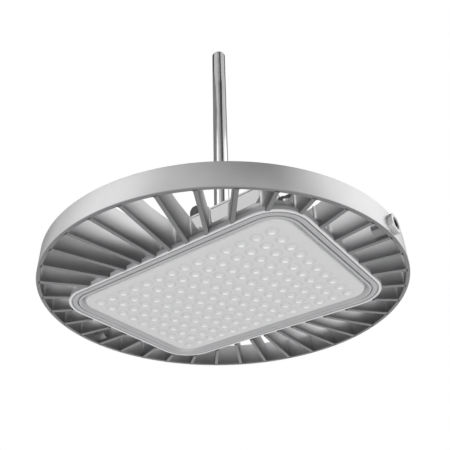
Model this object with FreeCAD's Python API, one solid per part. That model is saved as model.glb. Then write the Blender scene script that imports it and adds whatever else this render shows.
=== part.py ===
"""High bay light: a round finned casting with a rectangular lamp window, hung from a pole.

Frame: +Z up, origin at the middle of the rim's bottom edge, +X along the window's long side.
Every size is in millimetres. Heights are stacked upwards from the rim's bottom, which is z = 0.
"""
import FreeCAD, Part
import math
import os

# ---- rim of the heat sink ----------------------------------------------------------------------
rim_r = 225.0               # outside radius of the rim
rim_height = 31.0
rim_wall_bottom = 4.6       # the rim's wall is drafted, so it thins towards the top
rim_wall_top = 3.6
rim_edge = 0.9              # small bevel round the rim's outside edges

# ---- lens frame: distances inwards from the frame's outside edge, heights up from the rim ------
frame_half_x = 171.0
frame_half_y = 126.0
frame_corner_r = 45.0
frame_face_z = 1.9          # flat face of the frame
frame_crest_drop = 0.9      # rounded outer ridge, this much lower than the flat face
frame_thickness = 4.6
frame_bevel = 4.4           # width of the outer ridge
flange_width = 6.8          # flat land between the ridge and the groove
groove_width = 1.5
groove_depth = 1.3
bead_width = 3.2            # raised bead between the groove and the opening
throat_width = 4.0          # sloping wall of the opening

# ---- lens cover and its seal -------------------------------------------------------------------
cover_face_z = 2.6          # flat face of the lens cover, between the lenses
cover_face_edge = 2.5       # bevel round that face
cover_face_gap = 0.4        # between the raised face and the frame's opening
cover_face_wall = 3.0
lens_flange = 2.5           # flange that the frame clamps
lens_flange_inset = 14.0    # from the frame's outside edge to the flange's edge
lens_flange_gap = 1.0       # room for the plastic to expand, all round
seal_width = 6.0
seal_thickness = 2.0

# ---- lamp tray of the heat sink ----------------------------------------------------------------
tray_inset = 5.0            # from the frame's edge to the tray's outside wall
frame_pocket_gap = 0.4      # gap between the frame and the fins round it
ledge_width = 6.0           # ledge that the seal lies on
cavity_depth = 0.5          # from the ledge to the tray's floor
floor_thickness = 6.0

# ---- fins --------------------------------------------------------------------------------------
fin_count = 36
fin_foot_width = 4.8        # at the rim's bottom
fin_crest_width = 2.6       # at the crest
fin_rise = 20.5             # crest above the tray's back
fin_rim_drop = 1.5          # top of the fin below the rim's top edge, where they join
fin_shoulder_r = 172.0      # where the top edge starts to climb
fin_shoulder_z = 31.0
fin_crest_r = 128.0         # where the top edge reaches the crest
long_fin_r = 62.0           # inner ends of the long and the short fins
short_fin_r = 96.0
fin_end_slope = 9.0
fin_bite = 1.0              # depth to which a fin runs into the rim
fin_web = 2.6               # width and length of the gussets where a fin meets the rim

# ---- side bosses with threaded bushes ----------------------------------------------------------
side_boss_r = 11.5
side_boss_stand_out = 5.0
side_boss_length = 25.0
side_boss_z = 15.6
side_boss_edge = 1.2
bush_r = 7.0
bush_hole_r = 4.25          # tapping size of an M10 thread
bush_length = 20.0
bush_recess = 0.6           # bush face behind the boss's face

# ---- light module: boards, chips and lenses ----------------------------------------------------
lens_border_x = 33.8        # from the frame's edge to the boards
lens_border_y = 30.25
module_columns = 7
module_rows = 10
module_gap = 0.5
pad_thickness = 0.5
board_thickness = 1.6
chip_size = 5.0
chip_height = 0.7
dome_height = 2.4
dome_base_share = 0.375     # base radius as a share of the lens pitch
dome_tip_share = 0.225
dome_sides = 8
reflector_gap = 0.3         # round the boards and inside the tray

# ---- posts and wiring nipple between tray and driver housing -----------------------------------
housing_gap = 45.5          # from the tray's back to the driver housing
post_angle = 25.0
post_radius = 105.0
post_boss_r = 8.0
post_across_flats = 13.0
nipple_angle = -35.0
nipple_radius = 95.6
nipple_boss_r = 9.0
nipple_r = 6.0
nipple_bore_r = 4.0
nipple_nut_flats = 17.0
nipple_nut_height = 5.0
nipple_end = 4.0            # thread showing inside the housing

# ---- frame screws, driven from behind ----------------------------------------------------------
frame_screw_inset = 9.0
frame_screw_r = 2.0
frame_screw_head_r = 3.9
frame_screw_head = 3.0
frame_screw_grip = 3.0      # depth of thread in the lens frame
screw_angles_side = 15.0
screw_angles_corner = 35.0
screw_angles_front = 65.0

# ---- driver housing ----------------------------------------------------------------------------
housing_half_x = 112.0
housing_half_y = 67.5
housing_corner_r = 12.0
housing_height = 21.5
housing_wall = 4.0
housing_floor = 3.0
housing_edge = 1.0
housing_seal_width = 3.0
housing_seal_thickness = 1.0
housing_seal_inset = 0.5
cover_flange = 2.5
cover_inset = 10.0
cover_rise = 10.0
cover_corner_r = 9.0
cover_wall = 2.5
cover_edge = 3.0
cover_screw_inset = 5.2
cover_screw_r = 1.5
cover_screw_head_r = 3.2
cover_screw_head = 2.2
cover_screw_length = 12.0
cover_boss_r = 4.6
cover_screw_x = 60.0
cover_screw_y = 50.0

# ---- parts inside the driver housing -----------------------------------------------------------
driver_length = 150.0
driver_width = 42.0
driver_height = 24.0
driver_edge = 1.5
driver_y = 24.0
driver_x = -22.0
terminal_length = 22.0
terminal_width = 44.0
terminal_height = 16.0
terminal_end_gap = 21.0     # from the housing's end wall
terminal_y = 28.0
terminal_ways = 4
surge_length = 30.0
surge_width = 30.0
surge_height = 20.0
surge_end_gap = 11.0        # from the housing's end wall, clear of the gland's nut
surge_y = -18.0

# ---- pole hub, pole, washer and lock nut -------------------------------------------------------
hub_half = 26.0
hub_corner_r = 8.0
hub_flange = 5.0
hub_neck_r = 17.0
hub_neck_height = 21.0
hub_taper = 1.5
hub_bolt_offset = 19.0
hub_bolt_r = 2.5
hub_bolt_head_flats = 8.0
hub_bolt_head = 3.5
hub_bolt_length = 12.0
hub_rib_width = 4.0
wire_hole_r = 7.0
pole_r = 10.65              # half-inch pipe, 21.3 across
pole_wall = 2.6
pole_top_z = 461.0
pole_thread_depth = 0.6
pole_thread_showing = 2.0   # thread above the lock nut
pole_edge = 0.5
pole_socket_floor = 8.0
pole_fit = 0.1
washer_r = 17.0
washer_thickness = 2.0
nut_flats = 32.0
nut_height = 7.0

# ---- breather cap and cable gland --------------------------------------------------------------
vent_x = -4.0
vent_y = -41.5
vent_r = 14.0
vent_skirt = 13.0
vent_dome = 8.0
vent_facets = 4
vent_stem_r = 7.0
vent_stem_end = 2.0         # stem showing inside the cover
gland_y = -32.0
gland_r = 7.5
gland_hex_flats = 19.0
gland_hex_length = 6.0
gland_body_length = 4.0
gland_cap_r = 9.8
gland_cap_length = 13.0
gland_hole_r = 4.5
gland_thread_r = 6.0
gland_nut_flats = 15.0
gland_nut_height = 4.0
gland_z_in_wall = 11.2

# ---- earth screw on the housing's end wall -----------------------------------------------------
earth_y = 30.0
earth_r = 2.5
earth_head_r = 4.6
earth_head = 3.2
earth_washer_r = 6.2
earth_washer = 1.2
earth_length = 9.0

# ---- heights worked out from the sizes above ---------------------------------------------------
frame_back_z = frame_face_z + frame_thickness
flange_back_z = frame_back_z + lens_flange
ledge_z = flange_back_z + seal_thickness
floor_z = ledge_z + cavity_depth
deck_z = floor_z + floor_thickness
crest_z = deck_z + fin_rise
housing_z = deck_z + housing_gap
housing_floor_z = housing_z + housing_floor
housing_rim_z = housing_z + housing_height
cover_z = housing_rim_z + housing_seal_thickness
cover_flange_z = cover_z + cover_flange
cover_top_z = cover_flange_z + cover_rise
hub_face_z = cover_top_z + hub_flange
hub_top_z = hub_face_z + hub_neck_height
pole_foot_z = cover_top_z + pole_socket_floor
pole_thread_r = pole_r - pole_thread_depth
nut_top_z = hub_top_z + washer_thickness + nut_height
pad_z = floor_z - pad_thickness
board_z = pad_z - board_thickness

# ---- distances in from the frame's edge, worked out --------------------------------------------
flange_start = frame_bevel
groove_start = flange_start + flange_width
bead_start = groove_start + groove_width
throat_start = bead_start + bead_width
opening_inset = throat_start + throat_width
flange_pocket_inset = lens_flange_inset - lens_flange_gap
cavity_inset = flange_pocket_inset + ledge_width

module_half_x = (frame_half_x - lens_border_x) / 2
module_half_y = frame_half_y - lens_border_y
lens_pitch_x = 2 * module_half_x / module_columns
lens_pitch_y = 2 * module_half_y / module_rows
dome_base_r = min(lens_pitch_x, lens_pitch_y) * dome_base_share
dome_tip_r = min(lens_pitch_x, lens_pitch_y) * dome_tip_share
plate_half_x = module_half_x - module_gap / 2
plate_half_y = module_half_y - module_gap / 2

UP = FreeCAD.Vector(0, 0, 1)
PART_FOLDER = "parts"


def point(x, y, z=0.0):
    """A FreeCAD vector."""
    return FreeCAD.Vector(x, y, z)


def polar(radius, degrees, z=0.0):
    """The point at a radius and an angle from +X."""
    turn = math.radians(degrees)
    return point(radius * math.cos(turn), radius * math.sin(turn), z)


def rounded_face(half_x, half_y, corner_r, z, centre_x=0.0, centre_y=0.0):
    """A flat face with four rounded corners."""
    edges = []
    previous = None
    first = None
    for quarter in range(4):
        sign_x = 1 if quarter in (0, 3) else -1
        sign_y = 1 if quarter in (0, 1) else -1
        middle = point(centre_x + sign_x * (half_x - corner_r), centre_y + sign_y * (half_y - corner_r), z)
        start, halfway, end = [middle + polar(corner_r, 90 * quarter + step) for step in (0, 45, 90)]
        if previous is None:
            first = start
        else:
            edges.append(Part.LineSegment(previous, start).toShape())
        edges.append(Part.Arc(start, halfway, end).toShape())
        previous = end
    edges.append(Part.LineSegment(previous, first).toShape())
    return Part.Face(Part.Wire(edges))


def slab(half_x, half_y, corner_r, low, high, centre_x=0.0, centre_y=0.0):
    """A rounded plate between two heights."""
    face = rounded_face(half_x, half_y, corner_r, low, centre_x, centre_y)
    return face.extrude(point(0, 0, high - low))


def frame_slab(inset, low, high):
    """A plate with the lens frame's outline, drawn in by an inset."""
    return slab(frame_half_x - inset, frame_half_y - inset, frame_corner_r - inset, low, high)


def box(half_x, half_y, low, high, centre_x=0.0, centre_y=0.0):
    """A square-cornered block standing between two heights."""
    corner = point(centre_x - half_x, centre_y - half_y, low)
    return Part.makeBox(2 * half_x, 2 * half_y, high - low, corner)


def disc(radius, low, high, centre=None):
    """An upright cylinder between two heights."""
    middle = centre or point(0, 0)
    return Part.makeCylinder(radius, high - low, point(middle.x, middle.y, low))


def hexagon(flats, low, high, centre=None, turned=0.0):
    """An upright hexagonal bar between two heights."""
    middle = centre or point(0, 0)
    corner_r = flats / 2 / math.cos(math.radians(30))
    corners = [point(middle.x, middle.y, low) + polar(corner_r, turned + 60 * k) for k in range(7)]
    return Part.Face(Part.makePolygon(corners)).extrude(point(0, 0, high - low))


def along_x(shape, x, y, z, sign=1):
    """Lays an upright shape along +X or -X and moves its foot to a point."""
    laid = shape.copy()
    laid.rotate(point(0, 0), point(0, 1, 0), 90 * sign)
    laid.translate(point(x, y, z))
    return laid


def revolved(outline):
    """A solid turned about the Z axis from (radius, height) corners."""
    corners = [point(radius, 0, z) for radius, z in outline]
    return Part.Face(Part.makePolygon(corners + corners[:1])).revolve(point(0, 0), UP, 360)


def flat_sided(first, second):
    """A solid between two matching outlines, closed by flat faces."""
    faces = [Part.Face(Part.makePolygon(ring + ring[:1])) for ring in (first, second)]
    for k, start in enumerate(first):
        end = first[(k + 1) % len(first)]
        far_end = second[(k + 1) % len(second)]
        faces.append(Part.Face(Part.makePolygon([start, end, far_end, second[k], start])))
    solid = Part.Solid(Part.makeShell(faces))
    if solid.Volume < 0:
        solid.reverse()
    return solid


def swept_round_frame(profile):
    """Carries an (inset, height) outline round the lens frame's rounded rectangle."""
    straight_x = frame_half_x - frame_corner_r
    straight_y = frame_half_y - frame_corner_r
    pieces = []
    for quarter in range(4):
        reach, run = (straight_x, straight_y) if quarter % 2 == 0 else (straight_y, straight_x)
        corners = [point(reach + frame_corner_r - inset, -run, z) for inset, z in profile]
        face = Part.Face(Part.makePolygon(corners + corners[:1]))
        side = face.extrude(point(0, 2 * run, 0))
        bend = face.copy()
        bend.translate(point(0, 2 * run, 0))
        bend = bend.revolve(point(reach, run), UP, 90)
        for piece in (side, bend):
            piece.rotate(point(0, 0), UP, 90 * quarter)
            pieces.append(piece)
    return pieces[0].multiFuse(pieces[1:]).removeSplitter()


# ---- heat sink ---------------------------------------------------------------------------------
def fin_half_width(z):
    """Half the thickness of a fin at a height: it is drafted towards the crest."""
    share = z / crest_z
    return (fin_foot_width + (fin_crest_width - fin_foot_width) * share) / 2


def blade(outline):
    """A fin's solid from its (radius, height) outline, with both faces drafted."""
    left = [point(radius, fin_half_width(z), z) for radius, z in outline]
    right = [point(radius, -fin_half_width(z), z) for radius, z in outline]
    return flat_sided(left, right)


def fin(number):
    """One radial fin, from the rim over the tray's back towards the middle."""
    inner_r = long_fin_r if number % 2 == 0 else short_fin_r
    rim_in_r = rim_r - rim_wall_top
    outline = [
        (inner_r, 0),
        (rim_in_r + fin_bite, 0),
        (rim_in_r + fin_bite, rim_height - fin_rim_drop),
        (rim_in_r - fin_bite, rim_height - fin_rim_drop),
        (fin_shoulder_r, fin_shoulder_z),
        (fin_crest_r, crest_z),
        (inner_r + fin_end_slope, crest_z),
        (inner_r, deck_z - fin_bite),
    ]
    return blade(outline)


def fin_gusset():
    """The thickened root where a fin meets the rim: a wedge with its point towards the middle."""
    reach = rim_r - rim_wall_top
    half = fin_half_width(0)
    corners = [
        point(reach - 2 * fin_web, 0),
        point(reach - fin_web, -half),
        point(reach + fin_bite, -half - fin_web),
        point(reach + fin_bite, half + fin_web),
        point(reach - fin_web, half),
        point(reach - 2 * fin_web, 0),
    ]
    return Part.Face(Part.makePolygon(corners)).extrude(point(0, 0, rim_height - fin_rim_drop))


def rim():
    """The drafted ring that ties the fins' outer ends together."""
    return revolved([
        (rim_r - rim_wall_bottom, 0),
        (rim_r - rim_edge, 0),
        (rim_r, rim_edge),
        (rim_r, rim_height - rim_edge),
        (rim_r - rim_edge, rim_height),
        (rim_r - rim_wall_top, rim_height),
    ])


def side_boss(sign):
    """A round boss on the rim, with its lug behind the wall."""
    body = disc(side_boss_r, 0, side_boss_length - side_boss_edge)
    nose = Part.makeCone(side_boss_r, side_boss_r - side_boss_edge, side_boss_edge,
                         point(0, 0, side_boss_length - side_boss_edge))
    inner_x = rim_r + side_boss_stand_out - side_boss_length
    return along_x(body.fuse(nose), sign * inner_x, 0, side_boss_z, sign)


def bush_socket(sign):
    """The hole for the threaded bush."""
    face_x = rim_r + side_boss_stand_out
    hole = disc(bush_r, 0, bush_length + bush_recess)
    return along_x(hole, sign * (face_x - bush_length - bush_recess), 0, side_boss_z, sign)


def frame_screw_places():
    """Where the frame's screws stand: between the fins, in the tray's wall."""
    side_x = frame_half_x - frame_screw_inset
    side_y = frame_half_y - frame_screw_inset
    places = []
    for sign_x in (1, -1):
        for sign_y in (1, -1):
            y_on_side = side_x * math.tan(math.radians(screw_angles_side))
            x_on_front = side_y / math.tan(math.radians(screw_angles_front))
            corner_middle = point(frame_half_x - frame_corner_r, frame_half_y - frame_corner_r)
            at_corner = corner_middle + polar(frame_corner_r - frame_screw_inset, screw_angles_corner)
            for x, y in ((side_x, y_on_side), (at_corner.x, at_corner.y), (x_on_front, side_y)):
                places.append(point(sign_x * x, sign_y * y))
    return places


def post_places():
    """The four posts that carry the driver housing."""
    turns = (post_angle, 180 - post_angle, 180 + post_angle, -post_angle)
    return [polar(post_radius, turn) for turn in turns]


def heat_sink():
    """The one-piece casting: rim, radial fins, lamp tray, post bosses and side bosses."""
    solids = []
    for number in range(fin_count):
        pieces = [fin(number), fin_gusset()]
        for piece in pieces:
            piece.rotate(point(0, 0), UP, 360.0 * number / fin_count)
            solids.append(piece)
    solids.append(frame_slab(tray_inset, 0, deck_z))
    for place in post_places():
        solids.append(disc(post_boss_r, floor_z, crest_z, place))
    nipple = polar(nipple_radius, nipple_angle)
    solids.append(disc(nipple_boss_r, floor_z, crest_z, nipple))
    for sign in (1, -1):
        solids.append(side_boss(sign))
    casting = rim().multiFuse(solids)

    cuts = [
        frame_slab(-frame_pocket_gap, -rim_height, frame_back_z),
        frame_slab(flange_pocket_inset, 0, ledge_z),
        frame_slab(cavity_inset, 0, floor_z),
        disc(nipple_r, 0, crest_z + rim_height, nipple),
    ]
    for sign in (1, -1):
        cuts.append(bush_socket(sign))
    for place in frame_screw_places():
        cuts.append(disc(frame_screw_r, 0, deck_z + fin_rise, place))
        cuts.append(disc(frame_screw_head_r + frame_pocket_gap, deck_z, deck_z + fin_rise, place))
    return casting.cut(Part.makeCompound(cuts)).removeSplitter()


def side_bush(sign):
    """A threaded steel bush in a side boss."""
    bush = disc(bush_r, 0, bush_length).cut(disc(bush_hole_r, 0, bush_length))
    inner_x = rim_r + side_boss_stand_out - bush_length - bush_recess
    return along_x(bush, sign * inner_x, 0, side_boss_z, sign)


# ---- window: frame, lens cover and seal --------------------------------------------------------
def lens_frame():
    """The moulded frame: outer ridge, flat land, groove, bead and sloping throat."""
    low = frame_face_z - frame_crest_drop
    profile = [
        (0, frame_back_z),
        (0, low + frame_bevel / 2),
        (frame_bevel / 4, low + frame_crest_drop / 2),
        (frame_bevel / 2, low),
        (frame_bevel * 3 / 4, low),
        (flange_start, frame_face_z),
        (groove_start, frame_face_z),
        (groove_start, frame_face_z + groove_depth),
        (bead_start, frame_face_z + groove_depth),
        (bead_start, frame_face_z),
        (bead_start + bead_width / 2, frame_face_z - frame_crest_drop / 2),
        (throat_start, frame_face_z),
        (opening_inset, frame_back_z),
    ]
    frame = swept_round_frame(profile)
    tip_z = frame_back_z - frame_screw_grip
    holes = [disc(frame_screw_r, tip_z, frame_back_z, place) for place in frame_screw_places()]
    return frame.cut(Part.makeCompound(holes))


def lens_cover():
    """The moulded cover: a clamped flange, a raised hollow face and a lens over each chip."""
    face_inset = opening_inset + cover_face_gap
    face = frame_slab(face_inset, cover_face_z, frame_back_z)
    depth = cover_face_z + cover_face_edge / 2
    face_edges = [edge for edge in face.Edges if edge.BoundBox.ZMax < depth]
    face = face.makeChamfer(cover_face_edge, face_edges)
    flange = frame_slab(lens_flange_inset, frame_back_z, flange_back_z)
    hollow = frame_slab(face_inset + cover_face_wall, cover_face_z + cover_face_wall, flange_back_z)
    lenses = [dome(spot) for side in (-1, 1) for spot in lens_centres(side)]
    return face.fuse(flange).cut(hollow).multiFuse(lenses).removeSplitter()


def cover_seal():
    """The flat rubber seal between the lens cover and the tray's ledge."""
    outer = frame_slab(lens_flange_inset, flange_back_z, ledge_z)
    return outer.cut(frame_slab(lens_flange_inset + seal_width - lens_flange_gap, flange_back_z, ledge_z))


# ---- light modules -----------------------------------------------------------------------------
def lens_centres(side):
    """The centres of one module's lenses."""
    first_x = side * module_half_x - module_half_x + lens_pitch_x / 2
    first_y = -module_half_y + lens_pitch_y / 2
    return [
        point(first_x + column * lens_pitch_x, first_y + row * lens_pitch_y)
        for column in range(module_columns)
        for row in range(module_rows)
    ]


def thermal_pad(side):
    """The soft pad that carries the board's heat into the tray."""
    return box(plate_half_x, plate_half_y, pad_z, floor_z, side * module_half_x)


def led_board(side):
    """A circuit board with its chips, facing down."""
    board = box(plate_half_x, plate_half_y, board_z, pad_z, side * module_half_x)
    half = chip_size / 2
    chips = [box(half, half, board_z - chip_height, board_z, spot.x, spot.y) for spot in lens_centres(side)]
    return board.multiFuse(chips)


def dome(spot):
    """One lens: a faceted cap that hangs from the cover's face."""
    rings = []
    for radius, z in ((dome_base_r, cover_face_z), (dome_tip_r, cover_face_z - dome_height)):
        rings.append([spot + polar(radius, 360.0 * (k + 0.5) / dome_sides, z) for k in range(dome_sides)])
    return flat_sided(*rings)


def reflector():
    """The white moulding that lies in the tray round the boards."""
    block = frame_slab(cavity_inset + reflector_gap, board_z, floor_z)
    opening = box(2 * module_half_x + reflector_gap, module_half_y + reflector_gap, board_z, floor_z)
    return block.cut(opening)


# ---- driver housing ----------------------------------------------------------------------------
def housing_slab(inset, low, high):
    """A plate with the driver housing's outline, drawn in by an inset."""
    corner_r = max(housing_corner_r - inset, housing_edge)
    return slab(housing_half_x - inset, housing_half_y - inset, corner_r, low, high)


def cover_screw_places():
    """Where the housing cover's screws stand: two on each side."""
    side_x = housing_half_x - cover_screw_inset
    side_y = housing_half_y - cover_screw_inset
    places = []
    for sign_x in (1, -1):
        for sign_y in (1, -1):
            places.append(point(sign_x * cover_screw_x, sign_y * side_y))
            places.append(point(sign_x * side_x, sign_y * cover_screw_y))
    return places


def driver_housing():
    """The tub that holds the drivers."""
    body = housing_slab(0, housing_z, housing_rim_z)
    foot_edges = [edge for edge in body.Edges if edge.BoundBox.ZMax < housing_z + housing_edge / 2]
    body = body.makeChamfer(housing_edge, foot_edges)
    tub = body.cut(housing_slab(housing_wall, housing_floor_z, housing_rim_z))
    tub = tub.multiFuse([disc(cover_boss_r, housing_floor_z, housing_rim_z, place)
                         for place in cover_screw_places()])
    cuts = [disc(nipple_r, housing_z, housing_floor_z, polar(nipple_radius, nipple_angle))]
    tip_z = cover_flange_z - cover_screw_length
    for place in cover_screw_places():
        cuts.append(disc(cover_screw_r, tip_z, housing_rim_z, place))
    wall_x = housing_half_x - housing_wall
    entry_z = housing_z + gland_z_in_wall
    cuts.append(along_x(disc(gland_thread_r, 0, housing_wall), wall_x, gland_y, entry_z))
    cuts.append(along_x(disc(earth_r, 0, housing_wall), wall_x, earth_y, entry_z))
    return tub.cut(Part.makeCompound(cuts)).removeSplitter()


def housing_seal():
    """The seal on the tub's rim."""
    outer = housing_slab(housing_seal_inset, housing_rim_z, cover_z)
    return outer.cut(housing_slab(housing_seal_inset + housing_seal_width, housing_rim_z, cover_z))


def cover_roof(inset, corner_r, high):
    """The block under the cover's raised roof."""
    return slab(housing_half_x - inset, housing_half_y - inset, corner_r, cover_z, high)


def housing_cover():
    """The pressed cover: a flat flange round a raised roof."""
    flange = housing_slab(0, cover_z, cover_flange_z)
    roof = cover_roof(cover_inset, cover_corner_r, cover_top_z)
    roof_edges = [edge for edge in roof.Edges if edge.BoundBox.ZMin > cover_top_z - housing_edge / 2]
    roof = roof.makeChamfer(cover_edge, roof_edges)
    hollow = cover_roof(cover_inset + cover_wall, cover_corner_r - cover_wall, cover_top_z - cover_wall)
    shell = flange.fuse(roof).cut(hollow)
    cuts = [disc(wire_hole_r, cover_z, cover_top_z)]
    for place in cover_screw_places():
        cuts.append(disc(cover_screw_r, cover_z, cover_flange_z, place))
    for place in hub_bolt_places():
        cuts.append(disc(hub_bolt_r, cover_z, cover_top_z, place))
    cuts.append(disc(vent_stem_r, cover_z, cover_top_z, point(vent_x, vent_y)))
    return shell.cut(Part.makeCompound(cuts)).removeSplitter()


def screw(shank_r, head_r, head_height, length, seat_z, place):
    """A pan-head screw pointing down, with its head on a seat."""
    shank = disc(shank_r, seat_z - length, seat_z, place)
    head = disc(head_r, seat_z, seat_z + head_height, place)
    return shank.fuse(head)


def post(place):
    """A hexagonal post between the casting and the driver housing."""
    return hexagon(post_across_flats, crest_z, housing_z, place, post_angle)


def wiring_nipple():
    """The tube that takes the wires from the housing into the tray."""
    place = polar(nipple_radius, nipple_angle)
    top = housing_floor_z + nipple_end
    return disc(nipple_r, floor_z, top, place).cut(disc(nipple_bore_r, floor_z, top, place))


def nipple_nut(low):
    """A hexagonal nut on the wiring nipple."""
    place = polar(nipple_radius, nipple_angle)
    high = low + nipple_nut_height
    return hexagon(nipple_nut_flats, low, high, place).cut(disc(nipple_r, low, high, place))


# ---- parts inside the housing ------------------------------------------------------------------
def led_driver(side):
    """A driver in its aluminium case."""
    low = housing_floor_z
    case = slab(driver_length / 2, driver_width / 2, driver_edge, low, low + driver_height,
                driver_x, side * driver_y)
    return case


def terminal_block():
    """The mains terminal block, with a row of screw wells."""
    low = housing_floor_z
    high = low + terminal_height
    half = terminal_length / 2
    x = housing_half_x - housing_wall - terminal_end_gap - half
    block = box(half, terminal_width / 2, low, high, x, terminal_y)
    pitch = terminal_width / terminal_ways
    wells = []
    for way in range(terminal_ways):
        y = terminal_y - terminal_width / 2 + (way + 0.5) * pitch
        wells.append(box(pitch / 4, pitch / 4, low + terminal_height / 2, high, x, y))
    return block.cut(Part.makeCompound(wells))


def surge_protector():
    """The surge protection module."""
    low = housing_floor_z
    half = surge_length / 2
    x = housing_half_x - housing_wall - surge_end_gap - half
    return slab(half, surge_width / 2, driver_edge, low, low + surge_height, x, surge_y)


# ---- hub, pole and nut -------------------------------------------------------------------------
def hub_bolt_places():
    """The hub's four bolts."""
    reach = hub_bolt_offset
    return [point(x, y) for x in (reach, -reach) for y in (reach, -reach)]


def pole_hub():
    """The cast hub: square flange, tapered neck and four ribs."""
    flange = slab(hub_half, hub_half, hub_corner_r, cover_top_z, hub_face_z)
    neck = Part.makeCone(hub_neck_r + hub_taper, hub_neck_r, hub_neck_height, point(0, 0, hub_face_z))
    ribs = []
    for quarter in range(4):
        rib = Part.Face(Part.makePolygon([
            point(0, -hub_rib_width / 2, hub_face_z),
            point(hub_half - 1, -hub_rib_width / 2, hub_face_z),
            point(hub_neck_r, -hub_rib_width / 2, hub_top_z - hub_flange),
            point(0, -hub_rib_width / 2, hub_top_z - hub_flange),
            point(0, -hub_rib_width / 2, hub_face_z),
        ])).extrude(point(0, hub_rib_width, 0))
        rib.rotate(point(0, 0), UP, 90 * quarter)
        ribs.append(rib)
    body = flange.multiFuse([neck] + ribs)
    cuts = [
        disc(wire_hole_r, cover_top_z, pole_foot_z),
        disc(pole_thread_r + pole_fit, pole_foot_z, hub_top_z),
    ]
    for place in hub_bolt_places():
        cuts.append(disc(hub_bolt_r, cover_top_z, hub_face_z, place))
    return body.cut(Part.makeCompound(cuts)).removeSplitter()


def hub_bolt(place):
    """A hexagon-headed bolt through the hub's flange and the cover."""
    shank = disc(hub_bolt_r, hub_face_z - hub_bolt_length, hub_face_z, place)
    return shank.fuse(hexagon(hub_bolt_head_flats, hub_face_z, hub_face_z + hub_bolt_head, place))


def pole():
    """The suspension pipe, open at both ends, with a threaded foot and its top edge broken."""
    return revolved([
        (pole_r - pole_wall, pole_foot_z),
        (pole_thread_r, pole_foot_z),
        (pole_thread_r, nut_top_z + pole_thread_showing),
        (pole_r, nut_top_z + pole_thread_showing),
        (pole_r, pole_top_z - pole_edge),
        (pole_r - pole_edge, pole_top_z),
        (pole_r - pole_wall, pole_top_z),
    ])


def pole_washer():
    """The washer under the lock nut."""
    top = hub_top_z + washer_thickness
    return disc(washer_r, hub_top_z, top).cut(disc(pole_thread_r + pole_fit, hub_top_z, top))


def pole_nut():
    """The lock nut on the pole."""
    low = hub_top_z + washer_thickness
    body = hexagon(nut_flats, low, low + nut_height)
    return body.cut(disc(pole_thread_r + pole_fit, low, low + nut_height))


# ---- breather cap, gland and earth screw -------------------------------------------------------
def breather_cap():
    """The black breather: a stem through the cover under a domed cap."""
    low = cover_top_z
    skirt_z = low + vent_skirt
    outline = [(0, low - cover_wall - vent_stem_end), (vent_stem_r, low - cover_wall - vent_stem_end),
               (vent_stem_r, low), (vent_r, low)]
    for step in range(vent_facets):
        turn = math.radians(90.0 * step / vent_facets)
        outline.append((vent_r * math.cos(turn), skirt_z + vent_dome * math.sin(turn)))
    outline.append((0, skirt_z + vent_dome))
    body = revolved(outline)
    body.translate(point(vent_x, vent_y))
    return body


def gland_body():
    """The gland's threaded body with its hexagon, in the housing's end wall."""
    thread = disc(gland_thread_r, -housing_wall - gland_nut_height, 0)
    shoulder = hexagon(gland_hex_flats, 0, gland_hex_length, turned=30)
    neck = disc(gland_r, gland_hex_length, gland_hex_length + gland_body_length)
    body = thread.multiFuse([shoulder, neck])
    length = gland_hex_length + gland_body_length + housing_wall + gland_nut_height
    bore = disc(gland_hole_r, -housing_wall - gland_nut_height, length)
    return along_x(body.cut(bore), housing_half_x, gland_y, housing_z + gland_z_in_wall)


def gland_cap():
    """The gland's domed clamping cap."""
    low = gland_hex_length
    side = disc(gland_cap_r, low, low + gland_cap_length * 2 / 3)
    nose = Part.makeCone(gland_cap_r, gland_hole_r + 2, gland_cap_length / 3,
                         point(0, 0, low + gland_cap_length * 2 / 3))
    body = side.fuse(nose)
    body = body.cut(disc(gland_r, low, low + gland_body_length))
    body = body.cut(disc(gland_hole_r, low, low + gland_cap_length))
    return along_x(body, housing_half_x, gland_y, housing_z + gland_z_in_wall)


def gland_nut():
    """The nut that holds the gland from inside."""
    nut = hexagon(gland_nut_flats, -housing_wall - gland_nut_height, -housing_wall, turned=30)
    nut = nut.cut(disc(gland_thread_r, -housing_wall - gland_nut_height, -housing_wall))
    return along_x(nut, housing_half_x, gland_y, housing_z + gland_z_in_wall)


def earth_screw():
    """The outside earth screw with its washer."""
    shank = disc(earth_r, -earth_length, 0)
    washer = disc(earth_washer_r, 0, earth_washer)
    head = disc(earth_head_r, earth_washer, earth_washer + earth_head)
    body = shank.multiFuse([washer, head])
    return along_x(body, housing_half_x, earth_y, housing_z + gland_z_in_wall)


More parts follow.
